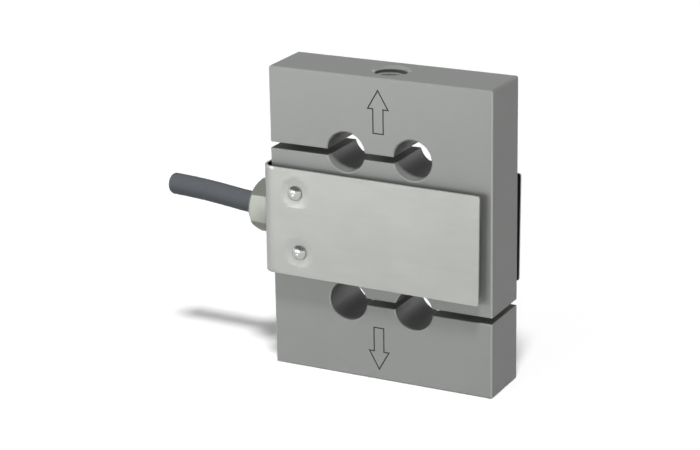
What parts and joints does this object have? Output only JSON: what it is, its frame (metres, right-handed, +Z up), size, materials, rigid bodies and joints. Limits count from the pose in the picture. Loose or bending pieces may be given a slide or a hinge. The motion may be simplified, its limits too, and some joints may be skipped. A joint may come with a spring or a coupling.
{
  "type": "s type load cell",
  "caption": "Slotted S-shaped steel load cell with threaded ends, a bent sheet cover round its gauge window and a short cable at a hexagon gland.",
  "frame": {"origin": "centre of the mouth of the lower threaded hole, in the middle of the bottom face", "axes": "+Z up along the load line towards the upper threaded hole, +X across the front away from the cable, +Y from the front face to the back face"},
  "size_m": [0.0783, 0.0198, 0.065],
  "materials": {
    "beam_steel": "satin ground stainless steel",
    "cover_sheet": "thin satin stainless sheet",
    "bright_steel": "polished rivets and spacers",
    "plated_brass": "nickel plated brass",
    "seal_rubber": "black rubber",
    "cable_sheath": "dark grey cable sheath",
    "core_red": "red core insulation",
    "core_black": "black core insulation",
    "core_green": "green core insulation",
    "core_white": "white core insulation",
    "gauge_foil": "polyimide backed foil gauge",
    "board_laminate": "green circuit laminate",
    "resistor_body": "black chip resistor",
    "lead_sleeve": "enamelled twin lead",
    "potting_silicone": "grey silicone"
  },
  "bodies": {
    "root": {"beam": "beam_steel", "cover": "cover_sheet", "rivet_front_upper": "bright_steel", "rivet_front_lower": "bright_steel", "rivet_back_upper": "bright_steel", "rivet_back_lower": "bright_steel", "spacer_front_upper": "bright_steel", "spacer_front_lower": "bright_steel", "spacer_back_upper": "bright_steel", "spacer_back_lower": "bright_steel", "gland": "plated_brass", "gland_washer": "seal_rubber", "gland_gasket": "seal_rubber", "cable_seal": "seal_rubber", "cable": "cable_sheath", "core_red": "core_red", "core_black": "core_black", "core_green": "core_green", "core_white": "core_white", "gauge_upper_left": "gauge_foil", "gauge_lower_left": "gauge_foil", "gauge_upper_right": "gauge_foil", "gauge_lower_right": "gauge_foil", "terminal_board": "board_laminate", "span_resistor": "resistor_body", "zero_resistor": "resistor_body", "lead_upper_left": "lead_sleeve", "lead_lower_left": "lead_sleeve", "lead_upper_right": "lead_sleeve", "lead_lower_right": "lead_sleeve", "potting_front": "potting_silicone", "potting_back": "potting_silicone"}
  },
  "joints": []
}
